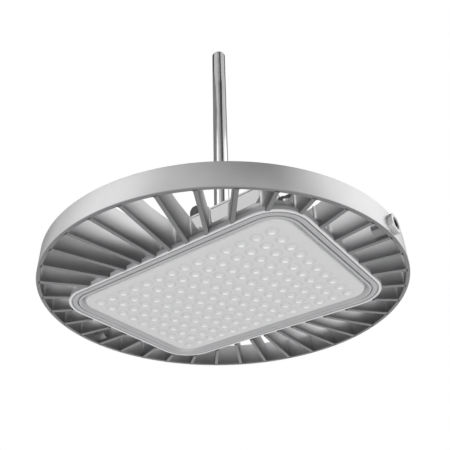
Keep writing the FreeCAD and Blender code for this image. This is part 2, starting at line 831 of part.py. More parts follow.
def all_nodes():
    """Every piece of the light, by name."""
    nodes = {
        "heat_sink": heat_sink(),
        "lens_frame": lens_frame(),
        "lens_cover": lens_cover(),
        "cover_seal": cover_seal(),
        "reflector": reflector(),
        "driver_housing": driver_housing(),
        "housing_seal": housing_seal(),
        "housing_cover": housing_cover(),
        "wiring_nipple": wiring_nipple(),
        "nipple_nut_low": nipple_nut(crest_z),
        "nipple_nut_high": nipple_nut(housing_z - nipple_nut_height),
        "terminal_block": terminal_block(),
        "surge_protector": surge_protector(),
        "pole_hub": pole_hub(),
        "pole": pole(),
        "pole_washer": pole_washer(),
        "pole_nut": pole_nut(),
        "breather_cap": breather_cap(),
        "gland_body": gland_body(),
        "gland_cap": gland_cap(),
        "gland_nut": gland_nut(),
        "earth_screw": earth_screw(),
    }
    for name, side in (("left", -1), ("right", 1)):
        nodes["thermal_pad_" + name] = thermal_pad(side)
        nodes["led_board_" + name] = led_board(side)
        nodes["side_bush_" + name] = side_bush(side)
        nodes["led_driver_" + name] = led_driver(side)
    for number, place in enumerate(post_places(), 1):
        nodes["post_%d" % number] = post(place)
    for number, place in enumerate(hub_bolt_places(), 1):
        nodes["hub_bolt_%d" % number] = hub_bolt(place)
    for number, place in enumerate(frame_screw_places(), 1):
        length = deck_z - frame_back_z + frame_screw_grip
        nodes["frame_screw_%02d" % number] = screw(frame_screw_r, frame_screw_head_r, frame_screw_head,
                                                   length, deck_z, place)
    for number, place in enumerate(cover_screw_places(), 1):
        nodes["cover_screw_%d" % number] = screw(cover_screw_r, cover_screw_head_r, cover_screw_head,
                                                 cover_screw_length, cover_flange_z, place)
    return nodes


def main():
    """Builds every piece and writes it as STEP."""
    os.makedirs(PART_FOLDER, exist_ok=True)
    for name, shape in all_nodes().items():
        shape.exportStep(os.path.join(PART_FOLDER, name + ".step"))
        print("%-18s solids %d  volume %.0f" % (name, len(shape.Solids), shape.Volume))


main()
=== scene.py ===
"""The dressed high bay light: a round finned casting with a lamp window, hung from a pipe."""

import logging
import math
from dataclasses import dataclass
from enum import Enum
from functools import reduce
from typing import Any, Optional, Sequence, Union

import bmesh
import bpy
from mathutils import Matrix, Vector


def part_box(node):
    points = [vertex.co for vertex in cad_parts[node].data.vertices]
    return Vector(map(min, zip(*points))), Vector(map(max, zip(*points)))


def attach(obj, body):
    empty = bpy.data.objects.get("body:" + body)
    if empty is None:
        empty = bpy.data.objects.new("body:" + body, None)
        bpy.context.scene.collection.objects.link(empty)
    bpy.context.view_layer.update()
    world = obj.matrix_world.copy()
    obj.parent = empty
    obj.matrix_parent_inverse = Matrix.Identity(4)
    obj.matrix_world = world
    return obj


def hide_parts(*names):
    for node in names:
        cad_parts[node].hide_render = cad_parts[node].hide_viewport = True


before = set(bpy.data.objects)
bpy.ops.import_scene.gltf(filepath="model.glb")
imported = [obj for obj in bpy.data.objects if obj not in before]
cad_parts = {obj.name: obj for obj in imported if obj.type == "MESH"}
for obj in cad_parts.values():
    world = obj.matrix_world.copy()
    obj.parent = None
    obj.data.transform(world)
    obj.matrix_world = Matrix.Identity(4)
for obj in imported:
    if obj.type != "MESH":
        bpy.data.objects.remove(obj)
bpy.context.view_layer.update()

log = logging.getLogger("high_bay_light")

MM = 0.001
BODY = "root"
SHARP = 35.0  # degrees from which an edge counts as sharp
FLAT = 1.0  # degrees up to which neighbouring faces count as one
WELD = 0.001 * MM  # how close two points count as one
UP = Vector((0, 0, 1))
Value = Union["Signal", float]
Settings = Optional[dict[Union[int, str], Any]]
Outline = list[tuple[float, float]]
Point = tuple[float, float, float]
Colour = tuple[float, float, float]
Piece = bpy.types.Object
Material = bpy.types.Material
WHITE: Colour = (1.0, 1.0, 1.0)
EVEN: Point = (1.0, 1.0, 1.0)  # no stretch along any axis
# The Mix node's sockets for colours, which share their names with its sockets for numbers.
MIX_FACTOR, MIX_FIRST, MIX_SECOND, MIX_RESULT = 0, 6, 7, 2


# ---- shader helpers ----
class Signal:
    """A shader socket that takes part in ordinary arithmetic."""

    def __init__(self, graph: "Graph", socket: bpy.types.NodeSocket) -> None:
        """Keeps one of a graph's output sockets."""
        self.graph = graph
        self.socket = socket

    def _math(self, operation: str, *values: Value, clamp: bool = False) -> "Signal":
        """Adds one Math node, whose result is held between 0 and 1 if clamp is set."""
        settings = {"operation": operation, "use_clamp": clamp}
        return self.graph.signal("ShaderNodeMath", settings, dict(enumerate(values)))

    def __add__(self, other: Value) -> "Signal":
        """self + other."""
        return self._math("ADD", self, other)

    __radd__ = __add__

    def __sub__(self, other: Value) -> "Signal":
        """self - other."""
        return self._math("SUBTRACT", self, other)

    def __rsub__(self, other: float) -> "Signal":
        """other - self."""
        return self._math("SUBTRACT", other, self)

    def __mul__(self, other: Value) -> "Signal":
        """self * other."""
        return self._math("MULTIPLY", self, other)

    __rmul__ = __mul__

    def size(self) -> "Signal":
        """The value without its sign."""
        return self._math("ABSOLUTE", self)

    def length(self, other: "Signal") -> "Signal":
        """The length of the vector that has this value and another as its parts."""
        return self._math("SQRT", self * self + other * other)

    def larger(self, other: "Signal") -> "Signal":
        """The larger of the two values."""
        return self._math("MAXIMUM", self, other)

    def held(self) -> "Signal":
        """The value held between 0 and 1."""
        return self._math("ADD", self, 0.0, clamp=True)

    def wrapped(self, period: float) -> "Signal":
        """The signed offset from the nearest multiple of a period."""
        return self._math("WRAP", self, period / 2, -period / 2)

    def step(self, low: float, high: float) -> "Signal":
        """Rises smoothly from 0 at low to 1 at high."""
        settings = {"interpolation_type": "SMOOTHSTEP"}
        return self.graph.signal("ShaderNodeMapRange", settings, {0: self, 1: low, 2: high})

    def within(self, half: float, edge: float) -> "Signal":
        """1 near zero on either side, falling to 0 at half over the given edge."""
        return 1.0 - self.size().step(half - edge, half)

    def between(self, low: float, high: float) -> "Signal":
        """Carries 0 to low and 1 to high."""
        return low + (high - low) * self

    def shared(self, other: "Signal", share: float) -> "Signal":
        """This value by its share, and another by the rest."""
        return self * share + other * (1.0 - share)

    def contrasted(self, gain: float) -> "Signal":
        """The value spread about one half, and held between 0 and 1."""
        return (self * gain - (gain - 1.0) / 2).held()


class Graph:
    """The node tree of a material or of the world."""

    def __init__(self, owner: Union[Material, bpy.types.World]) -> None:
        """Empties a tree.

        Args:
            owner: What the tree belongs to.
        """
        owner.use_nodes = True
        self.owner = owner
        self.tree = owner.node_tree
        self.tree.nodes.clear()

    def node(self, kind: str, settings: Settings = None, inputs: Settings = None) -> bpy.types.Node:
        """Adds a node, sets it, then fills or links its sockets.

        Args:
            kind: The node's type.
            settings: Properties by name.
            inputs: Numbers, colours, vectors or signals by socket index or name.

        Returns:
            The node.
        """
        made = self.tree.nodes.new(kind)
        for key, value in (settings or {}).items():
            setattr(made, key, value)
        for key, value in (inputs or {}).items():
            socket = made.inputs[key]
            if isinstance(value, Signal):
                self.tree.links.new(value.socket, socket)
            elif socket.type == "RGBA":
                socket.default_value = (*value, 1.0)
            else:
                socket.default_value = value
        return made

    def signal(self, kind: str, settings: Settings = None, inputs: Settings = None,
               output: Union[int, str] = 0) -> Signal:
        """Adds a node and wraps one of its outputs."""
        return Signal(self, self.node(kind, settings, inputs).outputs[output])

    def place(self) -> Signal:
        """The point on the surface, in the light's own frame."""
        return self.signal("ShaderNodeTexCoord", output="Object")

    def axes(self, vector: Signal) -> list[Signal]:
        """The three parts of a vector."""
        parts = self.node("ShaderNodeSeparateXYZ", inputs={0: vector}).outputs
        return [Signal(self, part) for part in parts]

    def stretched(self, vector: Signal, scale: Point) -> Signal:
        """A vector with each part multiplied."""
        return self.signal("ShaderNodeVectorMath", {"operation": "MULTIPLY"}, {0: vector, 1: scale})

    def noise(self, vector: Signal, scale: float, detail: float = 3.0, roughness: float = 0.55) -> Signal:
        """Soft noise between 0 and 1."""
        values = {"Vector": vector, "Scale": scale, "Detail": detail, "Roughness": roughness}
        return self.signal("ShaderNodeTexNoise", inputs=values)

    def blend(self, factor: Value, first: Union[Colour, Signal], second: Union[Colour, Signal]) -> Signal:
        """The first colour where the factor is 0, and the second where it is 1."""
        values = {MIX_FACTOR: factor, MIX_FIRST: first, MIX_SECOND: second}
        return self.signal("ShaderNodeMix", {"data_type": "RGBA"}, values, MIX_RESULT)

    def relief(self, height: Signal, depth: float, strength: float) -> Signal:
        """A bumped normal, where a height of 1 stands for a depth in metres."""
        values = {"Height": height, "Distance": depth, "Strength": strength}
        return self.signal("ShaderNodeBump", inputs=values)

    def rays(self, *kinds: str) -> Signal:
        """1 for rays of any of the kinds, named as on the Light Path node, and 0 for others."""
        path = self.node("ShaderNodeLightPath").outputs
        return reduce(Signal.larger, [Signal(self, path[kind]) for kind in kinds])

    def principled(self, **sockets: Any) -> Signal:
        """A Principled shader, from values by socket name with _ for a space."""
        values = {key.replace("_", " "): value for key, value in sockets.items()}
        return self.signal("ShaderNodeBsdfPrincipled", inputs=values)

    def veiled(self, factor: Signal, behind: Signal, skin: Signal) -> Signal:
        """The shader behind where the factor is 0, and the skin where it is 1."""
        return self.signal("ShaderNodeMixShader", inputs={0: factor, 1: behind, 2: skin})

    def surface(self, shader: Signal) -> Material:
        """Ends a material with its shader and returns it."""
        self.node("ShaderNodeOutputMaterial", inputs={"Surface": shader})
        return self.owner


# ---- finishes ----
@dataclass(frozen=True)
class Finish:
    """A finish with a fine grain, and a soft cloud of a second colour over its ground."""

    name: str
    ground: Colour
    cloud: Colour
    smooth: float
    coarse: float
    metallic: float
    grain_scale: float
    grain_depth: float
    grain_strength: float
    stretch: Point
    cloud_scale: float
    cloud_detail: float
    cloud_gain: float
    cloud_share: float

    def colour(self, g: Graph, where: Signal, mottle: Signal) -> Signal:
        """The colour at each place, from a mottle between 0 and 1."""
        return g.blend(mottle, self.ground, self.cloud)

    def make(self) -> Material:
        """Builds the material.

        Returns:
            The material.
        """
        g = Graph(bpy.data.materials.new(self.name))
        where = g.place()
        cloud = g.noise(where, self.cloud_scale, self.cloud_detail)
        grain = g.noise(g.stretched(where, self.stretch), self.grain_scale, detail=2.0)
        return g.surface(g.principled(
            Base_Color=self.colour(g, where, cloud.contrasted(self.cloud_gain)),
            Metallic=self.metallic,
            Roughness=cloud.shared(grain, self.cloud_share).between(self.smooth, self.coarse),
            Normal=g.relief(grain, self.grain_depth, self.grain_strength),
        ))


@dataclass(frozen=True)
class CastMetal(Finish):
    """Satin cast metal, bare or coated, with a fine grain and faint flow marks."""

    ground: Colour = (0.44, 0.44, 0.447)
    cloud: Colour = (0.52, 0.52, 0.525)
    smooth: float = 0.33
    coarse: float = 0.46
    metallic: float = 0.85
    grain_scale: float = 900.0
    grain_depth: float = 0.04 * MM
    grain_strength: float = 0.5
    stretch: Point = EVEN
    cloud_scale: float = 22.0
    cloud_detail: float = 4.0
    cloud_gain: float = 1.6
    cloud_share: float = 0.7


@dataclass(frozen=True, kw_only=True)
class RawCasting(CastMetal):
    """Cast metal, blasted on the rim's outside and the tray's back and as cast between its fins, with
    painted shade that darkens the as-cast parts towards their lower edges.
    """

    rim_r: float
    tray_half: tuple[float, float]
    rim_skin: float = 2.5 * MM
    rim_fade: float = 1.5 * MM
    tray_fade: float = 1.0 * MM
    # Heights over which the tray's side wall goes from its painted shade to the blasted colour.
    tray_shade_rise: tuple[float, float] = (13.0 * MM, 15.5 * MM)
    # Painted shade: the as-cast colour runs from this dark low down to the top colour higher up.
    shaded_as_cast: Colour = (0.23, 0.23, 0.235)
    shaded_as_cast_top: Colour = (0.57, 0.57, 0.577)
    painted_shade_rise: tuple[float, float] = (1.0 * MM, 30.0 * MM)
    as_cast_mottle: float = 0.2

    def colour(self, g: Graph, where: Signal, mottle: Signal) -> Signal:
        """The colour at each place.

        Args:
            g: The material's graph.
            where: The point on the surface.
            mottle: Flow marks between 0 and 1.

        Returns:
            The blasted colour, or the as-cast colour with painted shade, darker towards the lower edges and
            lighter upwards.
        """
        x, y, z = g.axes(where)
        blasted_r = self.rim_r - self.rim_skin
        # The rim's outside keeps the as-cast colour on its lowest edge: painted shade on its lip.
        rim = x.length(y).step(blasted_r - self.rim_fade, blasted_r) * z.step(0.0, self.rim_fade)
        half_x, half_y = self.tray_half
        tray = x.within(half_x, self.tray_fade) * y.within(half_y, self.tray_fade)
        # The tray's side wall keeps the as-cast colour low down: painted shade just above the frame.
        blasted_unshaded = rim.larger(tray * z.step(*self.tray_shade_rise))
        # Painted shade: darker towards the lower edges and lighter upwards, with the flow marks mixed in.
        height = z.step(*self.painted_shade_rise) + (mottle - 0.5) * self.as_cast_mottle
        shaded_as_cast = g.blend(height.held(), self.shaded_as_cast, self.shaded_as_cast_top)
        return g.blend(blasted_unshaded, shaded_as_cast, super().colour(g, where, mottle))


@dataclass(frozen=True, kw_only=True)
class FrameCoating(CastMetal):
    """The coating of the lens frame, with a painted highlight on its crest where light catches the ridge."""

    ridge_z: float
    crest_height: float = 0.2 * MM
    crest_fade: float = 0.5 * MM
    # Painted highlight: the colour of the ridge's crest.
    crest: Colour = (0.78, 0.78, 0.785)

    def colour(self, g: Graph, where: Signal, mottle: Signal) -> Signal:
        """The colour at each place, from a mottle between 0 and 1."""
        # Painted highlight: the crest is drawn lighter than the coating.
        height = g.axes(where)[2] - (self.ridge_z + self.crest_height)
        return g.blend(1.0 - height.step(0.0, self.crest_fade), super().colour(g, where, mottle), self.crest)


@dataclass(frozen=True)
class PlatedSteel(Finish):
    """Zinc-plated or polished steel, with drawn lines along one axis."""

    ground: Colour = (0.5, 0.5, 0.505)
    cloud: Colour = (0.62, 0.62, 0.62)
    smooth: float = 0.16
    coarse: float = 0.26
    metallic: float = 1.0
    grain_scale: float = 1400.0
    grain_depth: float = 0.01 * MM
    grain_strength: float = 0.4
    stretch: Point = (1.0, 1.0, 0.04)
    cloud_scale: float = 35.0
    cloud_detail: float = 3.0
    cloud_gain: float = 1.5
    cloud_share: float = 0.4


@dataclass(frozen=True)
class Moulded(Finish):
    """Moulded plastic, rubber or felt with a fine texture."""

    smooth: float = 0.44
    coarse: float = 0.56
    metallic: float = 0.0
    grain_scale: float = 1600.0
    grain_depth: float = 0.03 * MM
    grain_strength: float = 0.5
    stretch: Point = EVEN
    cloud_scale: float = 28.0
    cloud_detail: float = 3.0
    cloud_gain: float = 1.4
    cloud_share: float = 1.0


@dataclass(frozen=True)
class LensArray:
    """The rows and columns, even in number, that the lenses and their chips stand in."""

    columns: int
    rows: int
    pitch_x: float
    pitch_y: float

    def middles(self) -> Outline:
        """The middle of each lens."""
        last_x, last_y = (self.columns - 1) / 2, (self.rows - 1) / 2
        return [((column - last_x) * self.pitch_x, (row - last_y) * self.pitch_y)
                for column in range(self.columns) for row in range(self.rows)]

    def offsets(self, x: Signal, y: Signal) -> tuple[Signal, Signal]:
        """How far a point lies from the middle of the lens nearest to it."""
        return (x - self.pitch_x / 2).wrapped(self.pitch_x), (y - self.pitch_y / 2).wrapped(self.pitch_y)

    def covers(self, x: Signal, y: Signal, edge: float) -> Signal:
        """1 where a point lies in the array, and 0 outside it."""
        half_x, half_y = self.columns * self.pitch_x / 2, self.rows * self.pitch_y / 2
        return x.within(half_x, edge) * y.within(half_y, edge)


@dataclass(frozen=True)
class LensPlastic:
    """Milky optical plastic, with a painted shade ring round the foot of each lens and a painted glint near
    its middle.

    The glint and ring sizes are shares of a lens's radius.
    """

    name: str
    array: LensArray
    lens_r: float
    body: Colour = (0.76, 0.76, 0.765)
    # Painted shade: the grey of the ring round each lens's foot.
    foot_shade: Colour = (0.68, 0.68, 0.685)
    clear: Colour = (0.97, 0.975, 0.98)
    edge: float = 0.2 * MM
    # Painted highlight: where the glint sits off each lens's middle, its size, its strength and its metal.
    glint_shift: float = 0.2
    glint_reach: tuple[float, float] = (0.35, 0.62)
    glint_levels: tuple[float, float] = (0.1, 1.7)
    glint_metal: float = 0.22
    # Where the painted shade ring round each lens's foot rises and falls, and how strong it is.
    foot_shade_rise: tuple[float, float] = (0.55, 0.9)
    foot_shade_fall: tuple[float, float] = (1.0, 1.25)
    foot_shade_share: float = 0.8
    smooth: float = 0.3
    coarse: float = 0.4
    coat: float = 0.3
    veil: float = 0.93
    cloud_scale: float = 60.0
    frost_scale: float = 900.0
    frost_depth: float = 0.02 * MM

    def rising(self, distance: Signal, shares: tuple[float, float]) -> Signal:
        """Rises from 0 to 1 between two shares of a lens's radius."""
        return distance.step(self.lens_r * shares[0], self.lens_r * shares[1])

    def make(self) -> Material:
        """Builds the material.

        Returns:
            The material.
        """
        g = Graph(bpy.data.materials.new(self.name))
        where = g.place()
        x, y, _ = g.axes(where)
        near_x, near_y = self.array.offsets(x, y)
        array = self.array.covers(x, y, self.edge)
        shift = self.lens_r * self.glint_shift
        # Painted highlight: a spot a little off each lens's middle, fixed to the lens.
        core = (1.0 - self.rising((near_x + shift).length(near_y - shift), self.glint_reach)) * array
        distance = near_x.length(near_y)
        # Painted shade: a greyer ring round each lens's foot.
        ring = (self.rising(distance, self.foot_shade_rise) - self.rising(distance, self.foot_shade_fall)) * array
        cloud = g.noise(where, self.cloud_scale)
        painted_glint = (core * cloud.between(*self.glint_levels)).held()
        plain = g.blend((ring * self.foot_shade_share).held(), self.body, self.foot_shade)
        frost = g.noise(where, self.frost_scale, detail=2.0)
        # The painted glint is blended to white, made partly metallic and less see-through.
        skin = g.principled(
            Base_Color=g.blend(painted_glint, plain, WHITE),
            Roughness=cloud.between(self.smooth, self.coarse),
            Coat_Weight=self.coat,
            Metallic=self.glint_metal * painted_glint,
            Normal=g.relief(frost, self.frost_depth, strength=0.3),
        )
        clear = g.signal("ShaderNodeBsdfTransparent", inputs={0: self.clear})
        return g.surface(g.veiled(core.between(self.veil, 1.0), clear, skin))


@dataclass(frozen=True)
class CircuitBoard:
    """White solder mask with a pale yellow chip under each lens."""

    name: str
    array: LensArray
    chip_half: float
    chip_edge: tuple[float, float] = (0.8, 0.82)
    mask: Colour = (0.83, 0.84, 0.84)
    phosphor: Colour = (0.85, 0.66, 0.16)
    mask_roughness: float = 0.45
    chip_roughness: float = 0.25

    def make(self) -> Material:
        """Builds the material.

        Returns:
            The material.
        """
        g = Graph(bpy.data.materials.new(self.name))
        x, y, _ = g.axes(g.place())
        across, along = self.array.offsets(x, y)
        low, high = self.chip_edge
        chip = 1.0 - across.size().larger(along.size()).step(self.chip_half * low, self.chip_half * high)
        return g.surface(g.principled(Base_Color=g.blend(chip, self.mask, self.phosphor),
                                      Roughness=chip.between(self.mask_roughness, self.chip_roughness)))


@dataclass(frozen=True)
class Paper:
    """White studio paper that glows towards the camera and fades into the backdrop far out."""

    name: str
    colour: Colour = (0.86, 0.86, 0.86)
    roughness: float = 0.9
    glow: float = 0.7
    fade: tuple[float, float] = (2.5, 10.0)
    fibre_scale: float = 260.0
    fibre_depth: float = 0.2 * MM

    def make(self) -> Material:
        """Builds the material.

        Returns:
            The material.
        """
        g = Graph(bpy.data.materials.new(self.name))
        where = g.place()
        x, y, _ = g.axes(where)
        glow = x.length(y).step(*self.fade).between(self.glow, 1.0)
        seen = g.rays("Is Camera Ray", "Is Glossy Ray", "Is Transmission Ray")
        fibre = g.noise(where, self.fibre_scale, detail=2.0)
        matt = g.principled(Base_Color=self.colour, Roughness=self.roughness,
                            Normal=g.relief(fibre, self.fibre_depth, strength=0.3))
        white = g.signal("ShaderNodeEmission", inputs={"Strength": 1.0})
        return g.surface(g.veiled(glow * seen, matt, white))


# ---- mesh helpers ----
def in_scene(name: str, data: Any) -> Piece:
    """Makes an object of a mesh, a lamp or a camera.

    Args:
        name: The object's name.
        data: What it shows.

    Returns:
        The new object, in the scene.
    """
    made = bpy.data.objects.new(name, data)
    bpy.context.scene.collection.objects.link(made)
    return made


class Skin:
    """A mesh under construction."""

    def __init__(self, points: Sequence[Point] = (), faces: Sequence[Sequence[int]] = ()) -> None:
        """Starts with points in metres, in the light's frame, and the corner numbers of each face."""
        self.points = [tuple(point) for point in points]
        self.faces = list(faces)

    def loft(self, rings: Sequence[Sequence[Point]], joined: bool = False) -> "Skin":
        """Adds a skin over rings that have the same number of points.

        Args:
            rings: The rings in order.
            joined: Whether the last ring joins the first, instead of both being filled in.

        Returns:
            This mesh.
        """
        first, size = len(self.points), len(rings[0])
        self.points += [point for ring in rings for point in ring]
        starts = range(first, len(self.points), size)
        pairs = list(zip(starts, starts[1:]))
        if joined:
            pairs.append((starts[-1], first))
        for here, there in pairs:
            for j in range(size):
                after = (j + 1) % size
                self.faces.append((here + j, there + j, there + after, here + after))
        if not joined:
            self.faces += [range(first, first + size), range(starts[-1], starts[-1] + size)]
        return self

    def piece(self, name: str, smooth_angle: float = SHARP) -> Piece:
        """Makes an object of the mesh and tidies its normals.

        Args:
            name: The piece's name.
            smooth_angle: Edges sharper than this stay sharp, in degrees.

        Returns:
            The new object, in the scene.
        """
        mesh = bpy.data.meshes.new(name)
        mesh.from_pydata(self.points, [], [list(face) for face in self.faces])
        mesh.validate()
        tidy = bmesh.new()
        tidy.from_mesh(mesh)
        bmesh.ops.remove_doubles(tidy, verts=tidy.verts, dist=WELD)
        bmesh.ops.recalc_face_normals(tidy, faces=tidy.faces)
        tidy.to_mesh(mesh)
        tidy.free()
        mesh.shade_smooth()
        mesh.set_sharp_from_angle(angle=math.radians(smooth_angle))
        return in_scene(name, mesh)


def soften(piece: Piece, width: float, steps: int) -> Piece:
    """Rounds an object's sharp edges.

    Args:
        piece: The object.
        width: How far the rounding reaches, in metres.
        steps: Faces across the rounding.

    Returns:
        The same object, with the rounding in its mesh.
    """
    bevel = piece.modifiers.new("edges", "BEVEL")
    bevel.width = width
    bevel.segments = steps
    bevel.limit_method = "ANGLE"
    bevel.angle_limit = math.radians(SHARP)
    bevel.harden_normals = False
    weighted = piece.modifiers.new("normals", "WEIGHTED_NORMAL")
    weighted.keep_sharp = False
    piece.data.shade_smooth()
    graph = bpy.context.evaluated_depsgraph_get()
    graph.update()
    baked = bpy.data.meshes.new_from_object(piece.evaluated_get(graph))
    piece.modifiers.clear()
    piece.data = baked
    return piece


def join(name: str, pieces: Sequence[Piece]) -> Piece:
    """Joins objects into the first one.

    Args:
        name: The joined piece's name.
        pieces: The objects.

    Returns:
        The joined object.
    """
    target = pieces[0]
    with bpy.context.temp_override(active_object=target, selected_editable_objects=list(pieces)):
        bpy.ops.object.join()
    target.name = name
    target.data.name = name
    return target


def placed(piece: Piece, placement: Matrix) -> Piece:
    """Moves or turns an object in its mesh."""
    piece.data.transform(placement)
    return piece


def swung(points: Sequence[Point], turn: float) -> list[Point]:
    """Swings points about the Z axis.

    Args:
        points: Radius, sideways offset and height of each point.
        turn: The radius's direction from +X, in radians.

    Returns:
        The points.
    """
    cos, sin = math.cos(turn), math.sin(turn)
    return [(r * cos - y * sin, r * sin + y * cos, z) for r, y, z in points]


def turned(name: str, outline: Outline, steps: int) -> Piece:
    """Turns a closed outline about the Z axis.

    Args:
        name: The piece's name.
        outline: Radius and height of each corner.
        steps: Faces round the axis.

    Returns:
        The turned object.
    """
    section = [(r, 0.0, z) for r, z in outline]
    rings = [swung(section, 2 * math.pi * k / steps) for k in range(steps)]
    return Skin().loft(rings, joined=True).piece(name)


def mirrored(side: Outline) -> Outline:
    """Both sides of a symmetrical section, from the right one."""
    return side + [(-y, z) for y, z in reversed(side)]


def arc(centre: tuple[float, float], radius: float, start: float, end: float, steps: int,
        rise: Optional[float] = None) -> Outline:
    """Points along a round or oval arc in an outline.

    Args:
        centre: The arc's middle.
        radius: Its radius.
        start: Where it starts, in degrees.
        end: Where it ends, in degrees.
        steps: How many stretches it has.
        rise: Its upright radius, where that is another.

    Returns:
        The points, with both ends.
    """
    turns = [math.radians(start + (end - start) * k / steps) for k in range(steps + 1)]
    upright = radius if rise is None else rise
    return [(centre[0] + radius * math.cos(t), centre[1] + upright * math.sin(t)) for t in turns]


@dataclass(frozen=True)
class RoundedRectangle:
    """A rectangle with round corners, from which insets are measured."""

    half_x: float
    half_y: float
    corner_r: float
    corner_steps: int = 14
    halvings: int = 40

    def ring(self, inset: float, z: float) -> list[Point]:
        """The outline drawn in by an inset, at one height.

        Args:
            inset: Distance inwards from the outline.
            z: The height.

        Returns:
            Points in order, the same number for every inset.
        """
        straight_x, straight_y = self.half_x - self.corner_r, self.half_y - self.corner_r
        corners = [(straight_x, straight_y), (-straight_x, straight_y),
                   (-straight_x, -straight_y), (straight_x, -straight_y)]
        points = []
        for quarter, corner in enumerate(corners):
            start = 90 * quarter
            points += arc(corner, self.corner_r - inset, start, start + 90, self.corner_steps)
        return [(x, y, z) for x, y in points]

    def sweep(self, name: str, profile: Outline, joined: bool = False,
              smooth_angle: float = SHARP) -> Piece:
        """Carries an (inset, height) profile round the outline, joined up or filled in at its ends."""
        rings = [self.ring(inset, z) for inset, z in profile]
        return Skin().loft(rings, joined).piece(name, smooth_angle)

    def reach(self, turn: float, offset: float, inset: float) -> float:
        """How far out a line that runs outwards crosses the outline.

        Args:
            turn: The line's direction from +X, in radians.
            offset: How far the line lies to the left of the centre.
            inset: The outline's inset.

        Returns:
            The distance along the line.
        """
        cos, sin = math.cos(turn), math.sin(turn)
        low, high = 0.0, self.half_x + self.half_y
        for _ in range(self.halvings):
            middle = (low + high) / 2
            x = abs(middle * cos - offset * sin) - (self.half_x - self.corner_r)
            y = abs(middle * sin + offset * cos) - (self.half_y - self.corner_r)
            outside = max(x, y) if min(x, y) < 0 else math.hypot(x, y)
            if outside > self.corner_r - inset:
                high = middle
            else:
                low = middle
        return high


def coat(piece: Piece, finish: Material) -> None:
    """Gives an object its only material."""
    piece.data.materials.clear()
    piece.data.materials.append(finish)


def paint(node: str, finish: Material) -> None:
    """Gives a CAD node, kept as it is, its finish."""
    coat(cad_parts[node], finish)
    log.info("%s: painted", node)


class Slot(Enum):
    """The record's material slots, which no piece in this script is given."""

    CAST_ALUMINIUM = "cast_aluminium"
    FRAME_PLASTIC = "frame_plastic"
    LENS_PLASTIC = "lens_plastic"
    WHITE_PLASTIC = "white_plastic"
    BLACK_PLASTIC = "black_plastic"
    BLACK_RUBBER = "black_rubber"
    PLATED_STEEL = "plated_steel"
    POLISHED_STEEL = "polished_steel"


def dress(piece: Piece, finish: Material, node: str) -> None:
    """Gives a piece its finish, hangs it on the body and hides the CAD node that it replaces.

    Args:
        piece: The object.
        finish: Its material.
        node: The CAD node that it replaces.
    """
    coat(piece, finish)
    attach(piece, BODY)
    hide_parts(node)
    log.info("%s: %d faces", piece.name, len(piece.data.polygons))


def soften_node(node: str, width: float, finish: Material, steps: int = 2) -> None:
    """Replaces a CAD node by a copy of it with its edges rounded.

    Args:
        node: The CAD node.
        width: How far the rounding reaches, in metres.
        finish: The material.
        steps: Faces across the rounding.
    """
    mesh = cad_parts[node].data.copy()
    tidy = bmesh.new()
    tidy.from_mesh(mesh)
    bmesh.ops.remove_doubles(tidy, verts=tidy.verts, dist=2 * WELD)
    bmesh.ops.dissolve_limit(tidy, angle_limit=math.radians(FLAT), verts=tidy.verts, edges=tidy.edges)
    tidy.to_mesh(mesh)
    tidy.free()
    dress(soften(in_scene(node + "_body", mesh), width, steps), finish, node)


def numbered(pattern: str, count: int) -> list[str]:
    """The names of numbered nodes, from 1."""
    return [pattern % number for number in range(1, count + 1)]


# ---- finishes in use ----
class Side(Enum):
    """Which one of a pair a piece is: the left one is towards -X, or for the drivers towards -Y."""

    LEFT = "left"
    RIGHT = "right"

    def node(self, name: str) -> str:
        """The CAD node of a paired piece on this side."""
        return name + "_" + self.value


class Workshop:
    """Makes each shared finish once and hands it out."""

    def __init__(self) -> None:
        """Builds every material that several pieces share."""
        ring_low, ring_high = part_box("lens_frame")
        rim_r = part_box("heat_sink")[1].y
        self.casting = RawCasting("cast_aluminium", rim_r=rim_r, tray_half=(ring_high.x, ring_high.y)).make()
        self.housing = CastMetal("coated_housing", (0.58, 0.58, 0.585), (0.64, 0.64, 0.645), 0.38, 0.5,
                                 metallic=0.35, grain_scale=1100.0, cloud_scale=16.0).make()
        self.frame = FrameCoating("frame_coating", (0.44, 0.44, 0.45), (0.51, 0.51, 0.52), 0.34, 0.44,
                                  metallic=0.35, grain_scale=1300.0, cloud_scale=30.0,
                                  ridge_z=ring_low.z).make()
        self.case = CastMetal("driver_case", (0.56, 0.56, 0.57), (0.62, 0.62, 0.63), metallic=0.9).make()
        self.rubber = Moulded("black_rubber", (0.03, 0.03, 0.03), (0.05, 0.05, 0.05), 0.64, 0.76).make()
        self.white = Moulded("white_moulding", (0.82, 0.82, 0.825), (0.78, 0.78, 0.785)).make()
        self.black = Moulded("black_nylon", (0.025, 0.025, 0.027), (0.045, 0.045, 0.047), 0.36, 0.48).make()
        self.pad = Moulded("thermal_pad", (0.42, 0.42, 0.45), (0.5, 0.5, 0.52), 0.74, 0.86).make()
        self.pipe = PlatedSteel("polished_pipe", smooth=0.07, coarse=0.13).make()
        self.zinc = PlatedSteel("zinc_plate", (0.52, 0.52, 0.53), (0.66, 0.66, 0.655), 0.24, 0.36,
                                grain_scale=600.0, stretch=EVEN).make()
        # Painted shade: the side bushes are drawn black for the dark inside their holes.
        self.hole_shade_black = PlatedSteel("hole_shade_steel", (0.03, 0.03, 0.031), (0.05, 0.05, 0.052),
                                     0.4, 0.5).make()


